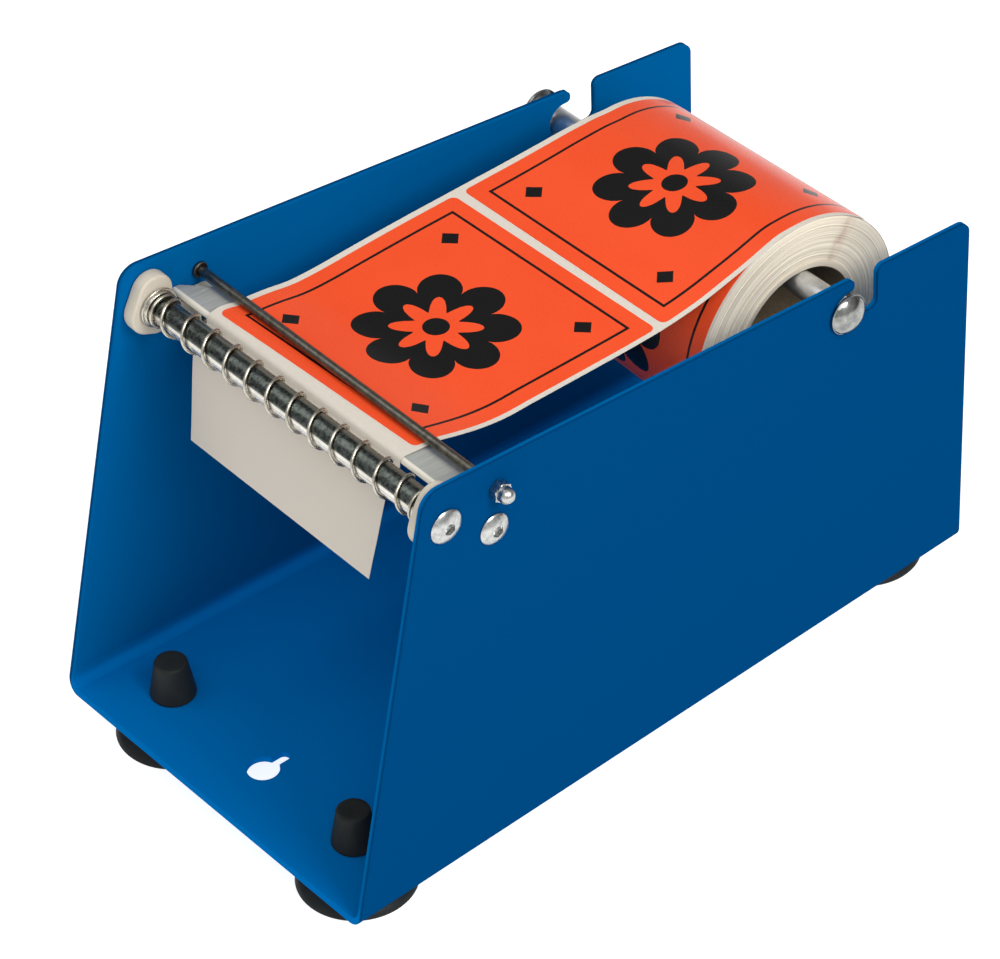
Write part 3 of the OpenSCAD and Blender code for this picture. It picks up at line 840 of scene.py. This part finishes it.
def peel():
    """Plate between the cheeks, with a round nose."""
    poly = []
    nose = (60.0, 157.6)
    a0, a1 = math.radians(94), math.radians(266)
    for i in range(17):
        t = a0 + (a1 - a0) * i / 16
        poly.append((nose[0] + 1.5 * math.cos(t), nose[1] + 1.5 * math.sin(t)))
    poly += [(lerp2(59.9, 71.6, i / 7), lerp2(156.105, 155.93, i / 7)) for i in range(1, 8)]
    poly += [(71.95, 156.0), (72.1, 156.3), (72.15, 157.5), (72.0, 157.85)]
    poly += [(lerp2(71.7, 60.4, i / 7), lerp2(157.95, 159.05, i / 7)) for i in range(8)]
    wide = in_x(62) - 0.10

    def half(y):
        if y <= 62:
            return wide
        return wide + (69.5 - wide) * (y - 62) / 12.0
    cen = (sum(p[0] for p in poly) / len(poly), sum(p[1] for p in poly) / len(poly))
    verts, rings = [], []
    n = len(poly)

    def ring(side, inset, shift):
        r = []
        for y, z in poly:
            dy, dz = cen[0] - y, cen[1] - z
            d = math.hypot(dy, dz)
            k = inset / d
            r.append(len(verts))
            verts.append((side * (half(y) - shift), y + dy * k, z + dz * k))
        rings.append(r)
    ring(-1, 0.35, 0.0); ring(-1, 0.08, 0.1); ring(-1, 0.0, 0.35)
    for k in range(1, 12):
        t = -1 + 2 * k / 12.0
        r = []
        for y, z in poly:
            r.append(len(verts))
            verts.append((t * (half(y) - 0.35), y, z))
        rings.append(r)
    ring(1, 0.0, 0.35); ring(1, 0.08, 0.1); ring(1, 0.35, 0.0)
    faces = [tuple(reversed(rings[0])), tuple(rings[-1])]
    for A, B in zip(rings, rings[1:]):
        for i in range(n):
            j = (i + 1) % n
            faces.append((A[i], A[j], B[j], B[i]))
    finish_mesh("peel_blade", verts, faces, ["plate"], "frame", ["peel_plate"], "plate_plastic", 40)


peel()

# ------------------------------------------------------------------ bar, spring, fasteners
BAR_X = in_x(BAR[0] + 8) - 6.15


def bar():
    prof = fillet([(-BAR_X, 2.95), (-BAR_X, 5.3), (BAR_X, 5.3), (BAR_X, 2.95), (BAR_X - 14, 2.95), (BAR_X - 14.8, 1.2),
                   (BAR_X - 15.2, 0.0)], [0.2, 0.4, 0.4, 0.2, 0, 0, 0], 3, closed=False)
    left = [(-(BAR_X - 15.2), 0.0), (-(BAR_X - 14.8), 1.2), (-(BAR_X - 14), 2.95)]
    finish_mesh("spring_bar", *lathe(left + prof, closed=False, c=BARC, n=128), ["bar"], "frame", ["front_bar"], "bar_steel", 30)
    p = [(BAR_X - 0.05, 5.35), (BAR_X - 0.05, 7.6), (BAR_X - 0.2, 7.8), (BAR_X - 0.85, 7.8), (BAR_X - 1.0, 7.6),
         (BAR_X - 1.0, 6.9), (BAR_X - 1.95, 6.9), (BAR_X - 2.1, 6.7), (BAR_X - 2.1, 5.35)]
    part = lathe(fillet(p, 0.10, 2), c=BARC)
    finish_mesh("bar_washers", *join(part, mirror(part)), ["collar"], "frame", ["bar_collars"], "spring_steel", 40)


bar()


def spring():
    """Round wire swept along the coil: a closed turn at each end and twelve open turns."""
    wire, mean, turns = 1.2, 12.3, 12
    x0, x1 = -(BAR_X - 2.95), BAR_X - 2.95
    n = turns + 2
    step, sides = 44, 14

    def lead(u):
        if u < 1:
            return wire * 1.12 * u
        if u > n - 1:
            return (x1 - x0) - wire * 1.12 * (n - u)
        return wire * 1.12 + (u - 1) / (n - 2) * ((x1 - x0) - 2 * wire * 1.12)
    pts = []
    m = n * step
    for i in range(m + 1):
        u = i / step
        # the pitch eases in and out of the closed turns
        x = sum(lead(min(max(u + d * 0.06, 0), n)) for d in (-2, -1, 0, 1, 2)) / 5
        pts.append(Vector((x0 + x, BARC[0] + mean / 2 * math.cos(2 * math.pi * u), BARC[1] + mean / 2 * math.sin(2 * math.pi * u))))
    verts, rings = [], []

    def ring(c, t, o, r):
        b = t.cross(o).normalized()
        o = b.cross(t).normalized()
        k = []
        for s in range(sides):
            a = 2 * math.pi * s / sides
            k.append(len(verts))
            verts.append(tuple(c + r * (math.cos(a) * o + math.sin(a) * b)))
        rings.append(k)
    for i, p in enumerate(pts):
        t = (pts[min(i + 1, m)] - pts[max(i - 1, 0)]).normalized()
        o = Vector((0, p.y - BARC[0], p.z - BARC[1])).normalized()
        if i == 0:
            ring(p - t * 0.22, t, o, wire / 2 * 0.55)
            ring(p - t * 0.16, t, o, wire / 2 * 0.85)
        ring(p, t, o, wire / 2)
        if i == m:
            ring(p + t * 0.16, t, o, wire / 2 * 0.85)
            ring(p + t * 0.22, t, o, wire / 2 * 0.55)
    faces = [tuple(rings[0]), tuple(reversed(rings[-1]))]
    for A, B in zip(rings, rings[1:]):
        for i in range(sides):
            j = (i + 1) % sides
            faces.append((A[i], B[i], B[j], A[j]))
    finish_mesh("bar_coil", verts, faces, ["spring"], "spring", ["bar_spring"], "spring_steel", 50)


spring()


def fasteners():
    a = button(BAR, out_x(BAR[0] - 6.7) + 0.03, 6.7, 2.7, 2.9, 18, 4.0)
    finish_mesh("screws_bar", *join(a, mirror(a)), ["zinc"], "frame", ["bar_screws"], "zinc_steel", 32)
    a = button(CHEEK, out_x(CHEEK[0] - 6.2) + 0.03, 6.2, 2.6, 2.5, 8, 4.0)
    finish_mesh("screws_cheek", *join(a, mirror(a)), ["zinc"], "frame", ["cheek_screws"], "zinc_steel", 32)
    a = acorn(ROD, out_x(ROD[0] - 4) + 0.03, 7.0, 3.4, 3.1, 7.9)
    finish_mesh("nuts_rod", *join(a, mirror(a)), ["zinc"], "frame", ["rod_nuts"], "zinc_steel", 28)
    x1 = in_x(ROD[0] + 3.4) - 0.03
    p = fillet([(x1, 1.85), (x1, 3.1), (x1 - 1.4, 3.1), (x1 - 1.4, 1.85)], 0.25, 3)
    a = lathe(p, c=ROD, n=64)
    finish_mesh("washers_rod", *join(a, mirror(a)), ["rod"], "frame", ["rod_washers"], "rod_steel", 40)
    rx = out_x(ROD[0]) + 6.5
    p = fillet([(-rx, 0.0), (-rx, 1.8), (rx, 1.8), (rx, 0.0)], [0, 0.4, 0.4, 0], 3, closed=False)
    finish_mesh("rod_holddown", *lathe(p, c=ROD, n=64, closed=False), ["rod"], "frame", ["holddown_rod"], "rod_steel", 40)
    sx = out_x(SPIN[0] - 8) + 0.4
    sl = sx + 8.4
    p = fillet([(-sl, 3.05), (-sl, 5.0), (sx, 5.0), (sx, 3.05)], 0.3, 3)
    finish_mesh("tube_spindle", *lathe(p, c=SPIN, n=96), ["tube"], "spindle", ["spindle_tube"], "tube_steel", 40)
    x0 = sx + 0.02
    prof = [(x0 - 16, 0.0), (x0 - 16, 2.6), (x0 - 15.6, 3.0), (x0, 3.0), (x0, 7.55), (x0 + 0.1, 7.85), (x0 + 0.35, 8.0),
            (x0 + 0.75, 8.0), (x0 + 0.95, 7.9), (x0 + 1.03, 7.72)]
    for i in range(1, 25):
        r = 7.62 * (1 - i / 25.0)
        prof.append((x0 + dome_h(r, 8.0, 3.8, 1.0), r))
    prof.append((x0 + 4.8, 0.0))
    a = lathe(prof, c=SPIN, closed=False)
    b = lathe([(q + 8.4, r) for q, r in prof], c=SPIN, closed=False)
    finish_mesh("domes_spindle", *join(a, mirror(b)), ["dome"], "spindle", ["spindle_screws"], "zinc_steel", 32)


fasteners()


# ------------------------------------------------------------------ roll
def roll():
    n = 240
    rings = []

    def face(side, x, r_out):
        out = []
        k = 74
        rnd = random.Random(5 if side > 0 else 6)
        off = 0.0
        for i in range(k + 1):
            f = i / k
            r = 29.06 + (r_out - 0.12 - 29.06) * f
            if i % 2 == 0:
                off = rnd.uniform(-0.16, 0.06) + (0.12 if rnd.random() < 0.12 else 0.0)
            crown = -0.55 * (1 - f) ** 2 + 0.25 * math.sin(f * 9.0)
            out.append((x + side * (-0.35 + crown * 0.5 + off), r, rnd.uniform(0, 6.28), rnd.uniform(0.0, 0.07)))
        return out
    right = face(1, ROLL_X1, ROLL_R1)
    left = face(-1, ROLL_X0, ROLL_R0)
    chain = [(x, r, p, w, "s") for x, r, p, w in right]
    m = 18
    for i in range(m + 1):
        f = i / m
        x = ROLL_X1 - 0.12 + (ROLL_X0 - ROLL_X1 + 0.24) * f
        rr = ROLL_R1 + (ROLL_R0 - ROLL_R1) * f
        chain.append((x, rr, 0.0, 0.0, "o"))
    chain += [(x, r, p, w, "s") for x, r, p, w in reversed(left)]
    verts, uvs = [], []
    for x, r, p, w, kind in chain:
        for i in range(n + 1):
            t = 2 * math.pi * i / n
            xx = x + w * math.sin(2 * t + p) * (1 if kind == "s" else 0)
            verts.append((xx, ROLL[0] + r * math.sin(t), ROLL[1] + r * math.cos(t)))
            uvs.append(((xx - ROLL_X0) / (ROLL_X1 - ROLL_X0), i / n + 0.055))
    faces, index = [], []
    K = len(chain)
    for k in range(K):
        A, B = k, (k + 1) % K
        for i in range(n):
            faces.append((A * (n + 1) + i, B * (n + 1) + i, B * (n + 1) + i + 1, A * (n + 1) + i + 1))
            index.append(1 if chain[A][4] == "o" and chain[B][4] == "o" else 0)
    me = bpy.data.meshes.new("roll_wound")
    me.from_pydata([row(*v) for v in verts], [], faces)
    me.materials.append(M["side"]); me.materials.append(M["outer"])
    me.polygons.foreach_set("material_index", index)
    layer = me.uv_layers.new(name="UVMap")
    flat = []
    for lo in me.loops:
        flat.extend(uvs[lo.vertex_index])
    layer.data.foreach_set("uv", flat)
    bm = bmesh.new(); bm.from_mesh(me)
    bmesh.ops.remove_doubles(bm, verts=bm.verts, dist=1e-7)
    bmesh.ops.recalc_face_normals(bm, faces=bm.faces)
    bm.to_mesh(me); bm.free()
    me.shade_smooth()
    me.set_sharp_from_angle(angle=math.radians(50))
    o = bpy.data.objects.new("roll_wound", me)
    bpy.context.scene.collection.objects.link(o)
    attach(o, "roll"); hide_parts("label_roll")
    p = fillet([(ROLL_X0, 26.6), (ROLL_X0, 29.0), (ROLL_X1, 29.0), (ROLL_X1, 26.6)], 0.35, 3)
    # the inner wall has the spiral's slight steps
    prof = []
    for a, b in zip(p, p[1:] + p[:1]):
        prof.append(a)
        if abs(a[1] - b[1]) < 1e-6 and abs(a[0] - b[0]) > 50:
            for i in range(1, 40):
                prof.append((a[0] + (b[0] - a[0]) * i / 40, a[1]))
    verts, faces = lathe(prof, c=ROLL, n=144)
    out = []
    for x, y, z in verts:
        dy, dz = y - ROLL[0], z - ROLL[1]
        r = math.hypot(dy, dz)
        if r < 27.2:
            turn = (x / 52.0 + math.atan2(dy, dz) / (2 * math.pi)) % 1.0
            k = 1 + (0.05 * math.exp(-((turn - 0.5) / 0.03) ** 2)) / r
            dy, dz = dy * k, dz * k
        out.append((x, ROLL[0] + dy, ROLL[1] + dz))
    finish_mesh("core_tube", out, faces, ["card"], "roll", ["roll_core"], "cardboard", 40)


roll()


# ------------------------------------------------------------------ web
def lerp(a, b, t):
    return a + (b - a) * t


def table(points, v):
    if v <= points[0][0]:
        return points[0][1]
    for (a, p), (b, q) in zip(points, points[1:]):
        if v <= b:
            return p + (q - p) * (v - a) / (b - a)
    return points[-1][1]


XL = [(40, -59.9), (54, -59.9), (235, -46.97), (300, -46.97)]
XR = [(40, 46.7), (54, 46.7), (235, 54.97), (300, 54.97)]


def wrap(deg, right):
    r = (ROLL_R1 if right else ROLL_R0) + 0.30
    t = math.radians(deg)
    return (ROLL[0] + r * math.sin(t), ROLL[1] + r * math.cos(t))


# stations along the web: (yL, zL), (yR, zR)
STATIONS = [((47.1, 108.1), (42.1, 114.3)), ((48.2, 118.0), (44.3, 121.8)), ((49.2, 127.8), (46.6, 129.5)),
            ((50.2, 137.5), (49.0, 138.0)), ((51.3, 146.0), (51.1, 145.2)), ((52.8, 150.2), (52.6, 149.8)),
            ((55.2, 152.8), (55.0, 152.6)), ((57.2, 154.6), (57.2, 154.6)), ((58.0, 156.2), (58.0, 156.2)),
            ((58.05, 157.6), (58.05, 157.6)), ((58.45, 158.75), (58.45, 158.75)), ((59.2, 159.4), (59.2, 159.35)),
            ((60.2, 159.75), (60.2, 159.5)), ((63.5, 160.4), (63.5, 159.4)), ((67.2, 159.9), (67.2, 159.15)),
            ((71.0, 159.1), (71.0, 158.95)), ((75.5, 159.2), (75.5, 158.5)), ((83.0, 158.7), (83.0, 156.6)),
            ((93.0, 157.6), (93.0, 154.5)), ((104.0, 158.0), (104.0, 153.4)), ((116.0, 159.2), (116.0, 153.8)),
            ((130.0, 160.6), (130.0, 154.2)), ((145.0, 161.9), (145.0, 154.7)), ((160.0, 163.0), (160.0, 155.3)),
            ((175.0, 164.1), (175.0, 156.4)), ((190.0, 165.2), (190.0, 158.8)), ((203.0, 166.3), (203.0, 162.3)),
            ((214.0, 167.3), (214.0, 165.6)), (wrap(-11, False), wrap(-11, True))]
STATIONS[-1] = ((226.4, 168.0), STATIONS[-1][1])
STATIONS += [(wrap(d, False), wrap(d, True)) for d in (-3, 3, 9, 15, 21, 27, 33, 39, 45, 48)]


def spline(pts, sub):
    out = []
    k = len(pts)
    for i in range(k - 1):
        p0, p1, p2, p3 = pts[max(i - 1, 0)], pts[i], pts[i + 1], pts[min(i + 2, k - 1)]
        for j in range(sub):
            t = j / sub
            t2, t3 = t * t, t * t * t
            out.append(tuple(0.5 * (2 * b + (c - a) * t + (2 * a - 5 * b + 4 * c - d) * t2 + (3 * b - a - 3 * c + d) * t3)
                             for a, b, c, d in zip(p0, p1, p2, p3)))
    out.append(pts[-1])
    return out


SUB = 6
LINE = spline([(*a, *b) for a, b in STATIONS], SUB)
EDGE_L = [Vector((table(XL, q[0]), q[0], q[1])) for q in LINE]
EDGE_R = [Vector((table(XR, q[2]), q[2], q[3])) for q in LINE]


def web_point(i, t):
    """Point on the web at fractional station i and place t across it."""
    i = min(max(i, 0.0), len(LINE) - 1.0001)
    k = int(i)
    f = i - k
    a = EDGE_L[k].lerp(EDGE_L[k + 1], f)
    b = EDGE_R[k].lerp(EDGE_R[k + 1], f)
    return a.lerp(b, t)


def web_normal(i, t):
    p = web_point(i - 0.5, t)
    q = web_point(i + 0.5, t)
    a, b = web_point(i, 0.0), web_point(i, 1.0)
    return (b - a).cross(q - p).normalized()


def sheet(name, grid, norm, lo, hi, mats, nodes, slot, uvs, body=None):
    """A thin closed sheet: grid of points, offset along the normals from lo to hi."""
    R, C = len(grid), len(grid[0])
    verts = [tuple(grid[i][j] + norm[i][j] * hi) for i in range(R) for j in range(C)]
    verts += [tuple(grid[i][j] + norm[i][j] * lo) for i in range(R) for j in range(C)]
    uv2 = [uvs[i][j] for i in range(R) for j in range(C)] * 2
    base = R * C
    faces = []
    for i in range(R - 1):
        for j in range(C - 1):
            a, b, c, d = i * C + j, i * C + j + 1, (i + 1) * C + j + 1, (i + 1) * C + j
            faces.append((a, b, c, d))
            faces.append((base + a, base + d, base + c, base + b))
    rim = [j for j in range(C)] + [i * C + C - 1 for i in range(1, R)] + [(R - 1) * C + j for j in range(C - 2, -1, -1)] + \
          [i * C for i in range(R - 2, 0, -1)]
    for a, b in zip(rim, rim[1:] + rim[:1]):
        faces.append((a, base + a, base + b, b))
    o = finish_mesh(name, verts, faces, mats, body, nodes, slot, 40, None, uv2, ride=body is not None)
    return o


BLEND = dict(start=(0.0, (80.0 + Y0) / 1000.0, 0.165), end=(0.0, (226.0 + Y0) / 1000.0, 0.165))
N_TAIL = 12 * SUB    # the tail ends at the top of the nose


def web():
    C = 19
    rows_ = list(range(N_TAIL, len(LINE)))
    grid = [[web_point(i, j / (C - 1)) for j in range(C)] for i in rows_]
    norm = [[web_normal(i, j / (C - 1)) for j in range(C)] for i in rows_]
    uvs = [[(j / (C - 1), i / len(LINE)) for j in range(C)] for i in rows_]
    o = sheet("web_liner", grid, norm, -0.08, 0.08, ["liner"], ["web_front", "web_rear"], "liner_paper", uvs)
    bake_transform(o, "frame", "spindle", **BLEND)
    rows_ = list(range(0, N_TAIL + 1))
    grid = [[web_point(i, j / (C - 1)) for j in range(C)] for i in rows_]
    norm = [[web_normal(i, j / (C - 1)) for j in range(C)] for i in rows_]
    uvs = [[(j / (C - 1), i / len(LINE)) for j in range(C)] for i in rows_]
    sheet("web_tail", grid, norm, -0.08, 0.08, ["liner"], ["liner_tail"], "liner_paper", uvs, body="frame")


web()


def arc_table(t):
    pts = [web_point(float(i), t) for i in range(len(LINE))]
    cum = [0.0]
    for a, b in zip(pts, pts[1:]):
        cum.append(cum[-1] + (b - a).length)
    return pts, cum


def arc_at_y(pts, cum, y):
    for i in range(N_TAIL, len(pts) - 1):
        if pts[i].y <= y <= pts[i + 1].y:
            f = (y - pts[i].y) / (pts[i + 1].y - pts[i].y)
            return lerp(cum[i], cum[i + 1], f)
    return cum[-1]


def station_at(cum, s):
    lo, hi = 0, len(cum) - 1
    while hi - lo > 1:
        m = (lo + hi) // 2
        if cum[m] <= s:
            lo = m
        else:
            hi = m
    return lo + (s - cum[lo]) / max(cum[hi] - cum[lo], 1e-9)


def label(name, node, front, back, length=None):
    """A label lies on the web between sheared front and back lines, with rounded corners."""
    r = 2.4
    A = 26
    ds = [0.0, 0.12, 0.35, 0.7, 1.1, 1.6, 2.4]
    body = [2.4 + (LAB_H - 4.8) * i / 54 for i in range(1, 54)]
    bs = ds + body + [LAB_H - d for d in reversed(ds)]
    tl, tr = 2.7 / 106.0, 1.0 - 2.0 / 106.0
    grid, norm, uvs = [], [], []
    cache = {}

    def cols(t):
        k = round(t, 5)
        if k not in cache:
            pts, cum = arc_table(t)
            f = arc_at_y(pts, cum, lerp(front[0], front[1], t))
            b = f + length if length else arc_at_y(pts, cum, lerp(back[0], back[1], t))
            cache[k] = (cum, f, b)
        return cache[k]
    # the rows end a little short of the liner's edges
    for b in bs:
        d = min(b, LAB_H - b)
        inset = r - math.sqrt(max(r * r - (r - d) ** 2, 0.0)) if d < r else 0.0
        g_, n_, u_ = [], [], []
        for j in range(A + 1):
            a = inset + (LAB_W - 2 * inset) * j / A
            t = lerp(tl, tr, a / LAB_W)
            cum, f, e = cols(t)
            s = lerp(f, e, b / LAB_H)
            i = station_at(cum, s)
            g_.append(web_point(i, t)); n_.append(web_normal(i, t)); u_.append((a / LAB_W, b / LAB_H))
        grid.append(g_); norm.append(n_); uvs.append(u_)
    o = sheet(name, grid, norm, 0.095, 0.20, ["label"], [node], "label_paper", uvs)
    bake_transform(o, "frame", "spindle", **BLEND)


label("label_first", "label_front", (61.4, 66.0), (163.4, 172.2))
label("label_second", "label_rear", (167.6, 175.4), None, length=104.0)


# ------------------------------------------------------------------ feet
def foot(name, node, c):
    h = -15.7
    cup = [(h + 5.2, 0.0), (h + 5.1, 4.0), (h + 4.6, 8.0), (h + 3.9, 11.5), (h + 2.9, 14.5), (h + 1.9, 17.0), (h + 0.9, 19.1), (h + 0.2, 20.2),
           (h, 20.6), (h, 21.8), (h + 0.12, 22.25), (h + 0.5, 22.5), (h + 0.9, 22.4), (h + 1.3, 22.05), (h + 1.7, 21.9), (h + 2.6, 20.9),
           (h + 4.0, 18.9), (h + 5.3, 16.6), (h + 6.6, 14.5), (h + 7.6, 13.4), (h + 8.6, 12.6), (h + 9.6, 12.0), (-5.0, 11.6), (-2.5, 11.3),
           (-0.9, 11.0), (-0.3, 10.6), (-0.03, 9.9)]
    cup += [(-0.03, 5.0), (2.53, 5.0), (2.53, 8.35), (2.65, 8.55), (2.95, 8.7), (3.7, 8.7), (4.1, 8.6)]
    cup += [(4.1 + 13.0 * k / 10, 8.6 - 2.25 * k / 10) for k in range(1, 11)]
    cup += [(17.45, 6.22), (17.75, 5.95), (17.95, 5.5), (18.05, 4.8), (18.0, 3.5), (17.95, 1.8), (17.95, 0.0)]
    part = lathe(cup, n=112, closed=False, axis="z", c=c)
    finish_mesh(name, *part, ["rubber"], "frame", [node], "black_rubber", 40)


foot("cup_front_left", "foot_front_left", (-54.6, 25.9))
foot("cup_front_right", "foot_front_right", (50.8, 25.9))
foot("cup_rear_left", "foot_rear_left", (-46.1, 282.3))
foot("cup_rear_right", "foot_rear_right", (42.3, 282.3))


# ------------------------------------------------------------------ stage, light, camera
def stage():
    me = bpy.data.meshes.new("floor")
    s = 4.0
    n = 8
    verts = [(-s + 2 * s * i / n, -s + 2 * s * j / n, 0.0) for j in range(n + 1) for i in range(n + 1)]
    faces = [(j * (n + 1) + i, j * (n + 1) + i + 1, (j + 1) * (n + 1) + i + 1, (j + 1) * (n + 1) + i) for j in range(n) for i in range(n)]
    me.from_pydata(verts, [], faces)
    g = Mat("floor_paint", (0.5, 0.5, 0.5), 0.9, spec=0.1)
    g.put(g.mix(g.range(g.noise(3.0, 2.0, 0.5), 0.3, 0.7, 0.0, 1.0), (0.49, 0.49, 0.49), (0.51, 0.51, 0.51)), "Base Color")
    g.set("Emission Color", (1.0, 1.0, 1.0, 1.0))
    g.set("Emission Strength", 0.84)
    me.materials.append(g.m)
    o = bpy.data.objects.new("floor", me)
    bpy.context.scene.collection.objects.link(o)


def area(name, loc, target, size, watts, color=(1, 1, 1)):
    l = bpy.data.lights.new(name, "AREA")
    l.shape = "DISK"
    l.size = size
    l.energy = watts
    l.color = color
    o = bpy.data.objects.new(name, l)
    o.location = loc
    d = Vector(target) - Vector(loc)
    o.rotation_mode = "QUATERNION"
    o.rotation_quaternion = d.to_track_quat("-Z", "Y")
    bpy.context.scene.collection.objects.link(o)


def world():
    w = bpy.data.worlds.new("studio")
    bpy.context.scene.world = w
    w.use_nodes = True
    t = w.node_tree
    bg = t.nodes["Background"]
    co = t.nodes.new("ShaderNodeTexCoord")
    dot = t.nodes.new("ShaderNodeVectorMath")
    dot.operation = "DOT_PRODUCT"
    t.links.new(co.outputs["Generated"], dot.inputs[0])
    dot.inputs[1].default_value = (0.593, -0.481, 0.646)
    mr = t.nodes.new("ShaderNodeMapRange")
    t.links.new(dot.outputs["Value"], mr.inputs[0])
    mr.inputs[1].default_value = -1.0
    mr.inputs[2].default_value = 1.0
    rp = t.nodes.new("ShaderNodeValToRGB")
    t.links.new(mr.outputs[0], rp.inputs[0])
    e = rp.color_ramp.elements
    e[0].position, e[0].color = 0.0, (0.9, 0.9, 0.9, 1.0)
    e[1].position, e[1].color = 1.0, (1.0, 1.0, 1.0, 1.0)
    m = e.new(0.34); m.color = (0.45, 0.45, 0.45, 1.0)
    m = e.new(0.44); m.color = (0.16, 0.16, 0.16, 1.0)
    m = e.new(0.58); m.color = (0.35, 0.35, 0.35, 1.0)
    m = e.new(0.78); m.color = (0.80, 0.80, 0.80, 1.0)
    t.links.new(rp.outputs[0], bg.inputs[0])
    bg.inputs[1].default_value = 0.7


def camera():
    az, el, roll_ = (math.radians(v) for v in (50.9096257987173, 40.22687581941933, -2.172017986104694))
    dist, f_px, cx, cy = 1.975622021875005, 5407.640319862639, 499.9181698111965, 469.4482113727787
    target = Vector((-0.009343387324511081, 0.14754051199010306 + Y0 / 1000.0, 0.06845850714769486 + Z0 / 1000.0))
    back = Vector((math.sin(az) * math.cos(el), -math.cos(az) * math.cos(el), math.sin(el)))
    right = (-back).cross(Vector((0, 0, 1))).normalized()
    up = right.cross(-back)
    R = right * math.cos(roll_) + up * math.sin(roll_)
    U = -right * math.sin(roll_) + up * math.cos(roll_)
    cam = bpy.data.cameras.new("camera")
    cam.sensor_fit = "HORIZONTAL"
    cam.sensor_width = 36.0
    cam.lens = f_px / 1000.0 * 36.0
    cam.shift_x = (500.0 - cx) / 1000.0
    cam.shift_y = (cy - 479.5) / 1000.0
    cam.clip_start, cam.clip_end = 0.05, 50.0
    o = bpy.data.objects.new("camera", cam)
    o.matrix_world = Matrix(((R.x, U.x, back.x, 0), (R.y, U.y, back.y, 0), (R.z, U.z, back.z, 0), (0, 0, 0, 1)))
    o.location = target + back * dist
    bpy.context.scene.collection.objects.link(o)
    bpy.context.scene.camera = o


stage()
world()
area("key", (0.80, -0.75, 1.40), (0, 0, 0.08), 1.0, 5.0)
area("right", (1.05, 0.05, 1.15), (0, 0, 0.10), 0.7, 13.0)
area("left", (-0.75, -0.45, 1.30), (0, 0, 0.08), 1.0, 3.0)
camera()
bpy.context.scene.view_settings.view_transform = "Standard"
bpy.context.scene.view_settings.look = "None"
bpy.context.scene.view_settings.exposure = 0.0
